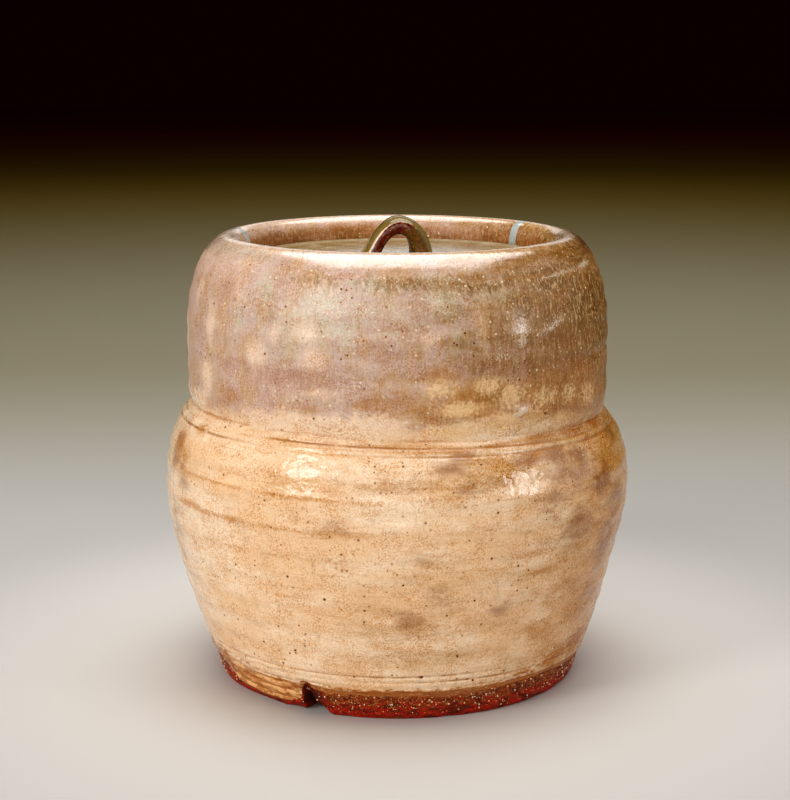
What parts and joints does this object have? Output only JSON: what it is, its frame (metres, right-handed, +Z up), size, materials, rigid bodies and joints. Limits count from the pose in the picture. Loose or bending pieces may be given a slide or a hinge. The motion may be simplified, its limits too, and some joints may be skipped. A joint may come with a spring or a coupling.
{
  "type": "lidded water jar",
  "caption": "Wheel-thrown stoneware water jar with a pinched waist, a rolled-in rim, a notched foot ring and a sunken lid that lifts off by a pulled strap handle.",
  "frame": {"origin": "centre of the foot ring, on the plane that the jar stands on", "axes": "+Z up along the axis that the jar was thrown about, -Y towards the viewer, +X to the viewer's right"},
  "size_m": [0.1842, 0.1842, 0.1813],
  "materials": {
    "jar_glaze": "wood-ash glaze over cream slip, mottled grey, pink and peach, bare red clay at the foot",
    "lid_glaze": "grey-olive ash glaze, glossy, with a light grainy edge",
    "handle_glaze": "olive ash glaze over dark red-brown clay"
  },
  "bodies": {
    "jar": {"jar_body": "jar_glaze"},
    "lid": {"lid_disc": "lid_glaze", "lid_handle": "handle_glaze"}
  },
  "joints": [
    {"name": "lid_lift", "type": "slide", "parent": "jar", "child": "lid", "axis": [0, 0, 1], "range_m": [0, 0.08]}
  ]
}
